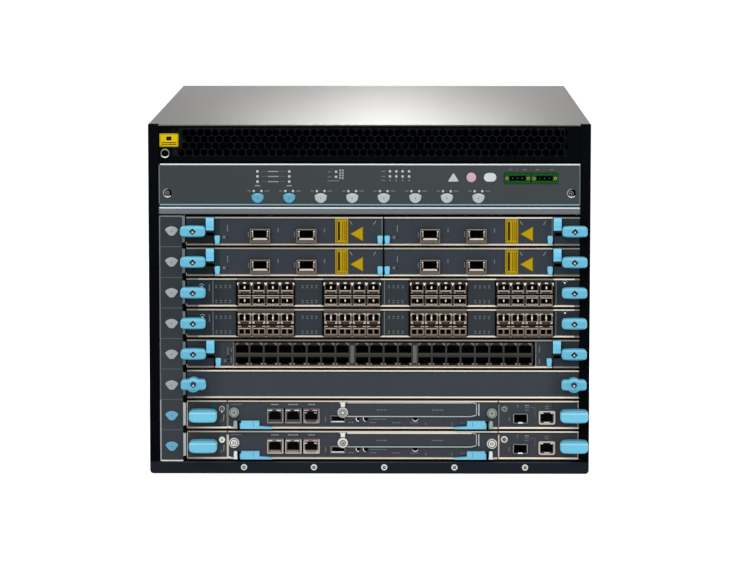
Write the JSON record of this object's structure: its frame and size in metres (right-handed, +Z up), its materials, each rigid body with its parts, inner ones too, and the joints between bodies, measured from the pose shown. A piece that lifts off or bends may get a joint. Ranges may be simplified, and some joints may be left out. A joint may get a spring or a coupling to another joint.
{
  "type": "modular chassis switch",
  "caption": "Rack chassis with front-loaded line cards, removable port modules, control modules, rear fan tray and power supplies, perforated intake above a display panel.",
  "frame": {"origin": "centre of the chassis's underside", "axes": "+Z up, +Y into the depth from front to rear, +X to the right seen from the front"},
  "size_m": [0.4432, 0.6626, 0.3531],
  "materials": {
    "frame_black": "fine textured black paint",
    "shell_steel": "satin zinc-plated sheet",
    "cover_steel": "satin zinc-plated sheet",
    "grille_black": "fine textured black paint",
    "strip_grey": "satin grey paint",
    "cage_zinc": "satin zinc-plated sheet",
    "board_green": "coated circuit board",
    "panel_grey": "satin grey paint",
    "terminal_green": "moulded green plastic",
    "supply_steel": "satin zinc-plated sheet",
    "fan_black": "moulded black plastic",
    "filter_grey": "open foam in a frame",
    "button_grey": "moulded light grey plastic",
    "button_blue": "moulded light blue plastic",
    "card_paint": "satin blue-grey paint",
    "handle_blue": "moulded light blue plastic"
  },
  "bodies": {
    "chassis": {"chassis_shell": "shell_steel", "top_cover": "cover_steel", "front_frame": "frame_black", "intake_grille": "grille_black", "label_strip": "strip_grey", "card_cage": "cage_zinc", "midplane": "board_green", "rear_panel": "shell_steel", "display_panel": "panel_grey", "relay_terminals": "terminal_green", "power_supplies": "supply_steel"},
    "fan_tray": {"fan_tray": "fan_black"},
    "air_filter": {"air_filter": "filter_grey"},
    "slot_button_1": {"slot_button_1": "button_blue"},
    "slot_button_2": {"slot_button_2": "button_blue"},
    "slot_button_3": {"slot_button_3": "button_grey"},
    "slot_button_4": {"slot_button_4": "button_grey"},
    "slot_button_5": {"slot_button_5": "button_grey"},
    "slot_button_6": {"slot_button_6": "button_grey"},
    "slot_button_7": {"slot_button_7": "button_grey"},
    "slot_button_8": {"slot_button_8": "button_grey"},
    "alarm_button": {"alarm_button": "button_grey"},
    "line_card_1": {"line_card_1": "card_paint"},
    "line_knob_1_left": {"line_knob_1_left": "handle_blue"},
    "line_knob_1_right": {"line_knob_1_right": "handle_blue"},
    "line_card_2": {"line_card_2": "card_paint"},
    "line_knob_2_left": {"line_knob_2_left": "handle_blue"},
    "line_knob_2_right": {"line_knob_2_right": "handle_blue"},
    "line_card_3": {"line_card_3": "card_paint"},
    "line_knob_3_left": {"line_knob_3_left": "handle_blue"},
    "line_knob_3_right": {"line_knob_3_right": "handle_blue"},
    "line_card_4": {"line_card_4": "card_paint"},
    "line_knob_4_left": {"line_knob_4_left": "handle_blue"},
    "line_knob_4_right": {"line_knob_4_right": "handle_blue"},
    "line_card_5": {"line_card_5": "card_paint"},
    "line_knob_5_left": {"line_knob_5_left": "handle_blue"},
    "line_knob_5_right": {"line_knob_5_right": "handle_blue"},
    "blank_panel": {"blank_panel": "card_paint"},
    "blank_knob_left": {"blank_knob_left": "handle_blue"},
    "blank_knob_right": {"blank_knob_right": "handle_blue"},
    "fabric_card_1": {"fabric_card_1": "card_paint"},
    "fabric_knob_1_left": {"fabric_knob_1_left": "handle_blue"},
    "fabric_knob_1_right": {"fabric_knob_1_right": "handle_blue"},
    "fabric_card_2": {"fabric_card_2": "card_paint"},
    "fabric_knob_2_left": {"fabric_knob_2_left": "handle_blue"},
    "fabric_knob_2_right": {"fabric_knob_2_right": "handle_blue"},
    "port_module_1": {"port_module_1": "card_paint"},
    "port_module_2": {"port_module_2": "card_paint"},
    "module_latches_1": {"module_latches_1": "handle_blue"},
    "port_module_3": {"port_module_3": "card_paint"},
    "port_module_4": {"port_module_4": "card_paint"},
    "module_latches_2": {"module_latches_2": "handle_blue"},
    "port_module_5": {"port_module_5": "card_paint"},
    "module_latches_5": {"module_latches_5": "handle_blue"},
    "control_module_1": {"control_module_1": "card_paint"},
    "control_lever_1_left": {"control_lever_1_left": "handle_blue"},
    "control_lever_1_right": {"control_lever_1_right": "handle_blue"},
    "control_module_2": {"control_module_2": "card_paint"},
    "control_lever_2_left": {"control_lever_2_left": "handle_blue"},
    "control_lever_2_right": {"control_lever_2_right": "handle_blue"}
  },
  "joints": [
    {"name": "fan_tray_slide", "type": "slide", "parent": "chassis", "child": "fan_tray", "axis": [0, 1, 0], "range_m": [0, 0.45]},
    {"name": "air_filter_slide", "type": "slide", "parent": "chassis", "child": "air_filter", "axis": [0, 1, 0], "range_m": [0, 0.45]},
    {"name": "slot_button_1_press", "type": "slide", "parent": "chassis", "child": "slot_button_1", "axis": [0, 1, 0], "range_m": [0, 0.0009], "stiffness_N_per_m": 500},
    {"name": "slot_button_2_press", "type": "slide", "parent": "chassis", "child": "slot_button_2", "axis": [0, 1, 0], "range_m": [0, 0.0009], "stiffness_N_per_m": 500},
    {"name": "slot_button_3_press", "type": "slide", "parent": "chassis", "child": "slot_button_3", "axis": [0, 1, 0], "range_m": [0, 0.0009], "stiffness_N_per_m": 500},
    {"name": "slot_button_4_press", "type": "slide", "parent": "chassis", "child": "slot_button_4", "axis": [0, 1, 0], "range_m": [0, 0.0009], "stiffness_N_per_m": 500},
    {"name": "slot_button_5_press", "type": "slide", "parent": "chassis", "child": "slot_button_5", "axis": [0, 1, 0], "range_m": [0, 0.0009], "stiffness_N_per_m": 500},
    {"name": "slot_button_6_press", "type": "slide", "parent": "chassis", "child": "slot_button_6", "axis": [0, 1, 0], "range_m": [0, 0.0009], "stiffness_N_per_m": 500},
    {"name": "slot_button_7_press", "type": "slide", "parent": "chassis", "child": "slot_button_7", "axis": [0, 1, 0], "range_m": [0, 0.0009], "stiffness_N_per_m": 500},
    {"name": "slot_button_8_press", "type": "slide", "parent": "chassis", "child": "slot_button_8", "axis": [0, 1, 0], "range_m": [0, 0.0009], "stiffness_N_per_m": 500},
    {"name": "alarm_button_press", "type": "slide", "parent": "chassis", "child": "alarm_button", "axis": [0, 1, 0], "range_m": [0, 0.0009], "stiffness_N_per_m": 500},
    {"name": "line_card_1_slide", "type": "slide", "parent": "chassis", "child": "line_card_1", "axis": [0, -1, 0], "range_m": [0, 0.36]},
    {"name": "line_knob_1_left_turn", "type": "hinge", "parent": "line_card_1", "child": "line_knob_1_left", "pos_m": [-0.177, -0.3126, 0.2467], "axis": [0, 1, 0], "continuous": true},
    {"name": "line_knob_1_right_turn", "type": "hinge", "parent": "line_card_1", "child": "line_knob_1_right", "pos_m": [0.2057, -0.3126, 0.2467], "axis": [0, 1, 0], "continuous": true},
    {"name": "line_card_2_slide", "type": "slide", "parent": "chassis", "child": "line_card_2", "axis": [0, -1, 0], "range_m": [0, 0.36]},
    {"name": "line_knob_2_left_turn", "type": "hinge", "parent": "line_card_2", "child": "line_knob_2_left", "pos_m": [-0.177, -0.3126, 0.2157], "axis": [0, 1, 0], "continuous": true},
    {"name": "line_knob_2_right_turn", "type": "hinge", "parent": "line_card_2", "child": "line_knob_2_right", "pos_m": [0.2057, -0.3126, 0.2157], "axis": [0, 1, 0], "continuous": true},
    {"name": "line_card_3_slide", "type": "slide", "parent": "chassis", "child": "line_card_3", "axis": [0, -1, 0], "range_m": [0, 0.36]},
    {"name": "line_knob_3_left_turn", "type": "hinge", "parent": "line_card_3", "child": "line_knob_3_left", "pos_m": [-0.177, -0.3126, 0.1847], "axis": [0, 1, 0], "continuous": true},
    {"name": "line_knob_3_right_turn", "type": "hinge", "parent": "line_card_3", "child": "line_knob_3_right", "pos_m": [0.2057, -0.3126, 0.1847], "axis": [0, 1, 0], "continuous": true},
    {"name": "line_card_4_slide", "type": "slide", "parent": "chassis", "child": "line_card_4", "axis": [0, -1, 0], "range_m": [0, 0.36]},
    {"name": "line_knob_4_left_turn", "type": "hinge", "parent": "line_card_4", "child": "line_knob_4_left", "pos_m": [-0.177, -0.3126, 0.1537], "axis": [0, 1, 0], "continuous": true},
    {"name": "line_knob_4_right_turn", "type": "hinge", "parent": "line_card_4", "child": "line_knob_4_right", "pos_m": [0.2057, -0.3126, 0.1537], "axis": [0, 1, 0], "continuous": true},
    {"name": "line_card_5_slide", "type": "slide", "parent": "chassis", "child": "line_card_5", "axis": [0, -1, 0], "range_m": [0, 0.36]},
    {"name": "line_knob_5_left_turn", "type": "hinge", "parent": "line_card_5", "child": "line_knob_5_left", "pos_m": [-0.177, -0.3126, 0.1227], "axis": [0, 1, 0], "continuous": true},
    {"name": "line_knob_5_right_turn", "type": "hinge", "parent": "line_card_5", "child": "line_knob_5_right", "pos_m": [0.2057, -0.3126, 0.1227], "axis": [0, 1, 0], "continuous": true},
    {"name": "blank_panel_slide", "type": "slide", "parent": "chassis", "child": "blank_panel", "axis": [0, -1, 0], "range_m": [0, 0.06]},
    {"name": "blank_knob_left_turn", "type": "hinge", "parent": "blank_panel", "child": "blank_knob_left", "pos_m": [-0.177, -0.3126, 0.0917], "axis": [0, 1, 0], "continuous": true},
    {"name": "blank_knob_right_turn", "type": "hinge", "parent": "blank_panel", "child": "blank_knob_right", "pos_m": [0.2057, -0.3126, 0.0917], "axis": [0, 1, 0], "continuous": true},
    {"name": "fabric_card_1_slide", "type": "slide", "parent": "chassis", "child": "fabric_card_1", "axis": [0, -1, 0], "range_m": [0, 0.36]},
    {"name": "fabric_knob_1_left_turn", "type": "hinge", "parent": "fabric_card_1", "child": "fabric_knob_1_left", "pos_m": [-0.1675, -0.3126, 0.0601], "axis": [0, 1, 0], "continuous": true},
    {"name": "fabric_knob_1_right_turn", "type": "hinge", "parent": "fabric_card_1", "child": "fabric_knob_1_right", "pos_m": [0.2062, -0.3126, 0.0601], "axis": [0, 1, 0], "continuous": true},
    {"name": "fabric_card_2_slide", "type": "slide", "parent": "chassis", "child": "fabric_card_2", "axis": [0, -1, 0], "range_m": [0, 0.36]},
    {"name": "fabric_knob_2_left_turn", "type": "hinge", "parent": "fabric_card_2", "child": "fabric_knob_2_left", "pos_m": [-0.1675, -0.3126, 0.0291], "axis": [0, 1, 0], "continuous": true},
    {"name": "fabric_knob_2_right_turn", "type": "hinge", "parent": "fabric_card_2", "child": "fabric_knob_2_right", "pos_m": [0.2062, -0.3126, 0.0291], "axis": [0, 1, 0], "continuous": true},
    {"name": "port_module_1_slide", "type": "slide", "parent": "line_card_1", "child": "port_module_1", "axis": [0, -1, 0], "range_m": [0, 0.18]},
    {"name": "port_module_2_slide", "type": "slide", "parent": "line_card_1", "child": "port_module_2", "axis": [0, -1, 0], "range_m": [0, 0.18]},
    {"name": "module_latches_1_swing", "type": "hinge", "parent": "line_card_1", "child": "module_latches_1", "pos_m": [0, -0.3108, 0.2461], "axis": [1, 0, 0], "range_deg": [0, 90]},
    {"name": "port_module_3_slide", "type": "slide", "parent": "line_card_2", "child": "port_module_3", "axis": [0, -1, 0], "range_m": [0, 0.18]},
    {"name": "port_module_4_slide", "type": "slide", "parent": "line_card_2", "child": "port_module_4", "axis": [0, -1, 0], "range_m": [0, 0.18]},
    {"name": "module_latches_2_swing", "type": "hinge", "parent": "line_card_2", "child": "module_latches_2", "pos_m": [0, -0.3108, 0.2151], "axis": [1, 0, 0], "range_deg": [0, 90]},
    {"name": "port_module_5_slide", "type": "slide", "parent": "line_card_5", "child": "port_module_5", "axis": [0, -1, 0], "range_m": [0, 0.18]},
    {"name": "module_latches_5_swing", "type": "hinge", "parent": "line_card_5", "child": "module_latches_5", "pos_m": [0, -0.3108, 0.1221], "axis": [1, 0, 0], "range_deg": [0, 90]},
    {"name": "control_module_1_slide", "type": "slide", "parent": "fabric_card_1", "child": "control_module_1", "axis": [0, -1, 0], "range_m": [0, 0.28]},
    {"name": "control_lever_1_left_swing", "type": "hinge", "parent": "control_module_1", "child": "control_lever_1_left", "pos_m": [-0.135, -0.3131, 0.0497], "axis": [0, 0, -1], "range_deg": [0, 75]},
    {"name": "control_lever_1_right_swing", "type": "hinge", "parent": "control_module_1", "child": "control_lever_1_right", "pos_m": [0.1225, -0.3131, 0.0497], "axis": [0, 0, 1], "range_deg": [0, 75]},
    {"name": "control_module_2_slide", "type": "slide", "parent": "fabric_card_2", "child": "control_module_2", "axis": [0, -1, 0], "range_m": [0, 0.28]},
    {"name": "control_lever_2_left_swing", "type": "hinge", "parent": "control_module_2", "child": "control_lever_2_left", "pos_m": [-0.135, -0.3131, 0.0187], "axis": [0, 0, -1], "range_deg": [0, 75]},
    {"name": "control_lever_2_right_swing", "type": "hinge", "parent": "control_module_2", "child": "control_lever_2_right", "pos_m": [0.1225, -0.3131, 0.0187], "axis": [0, 0, 1], "range_deg": [0, 75]}
  ]
}
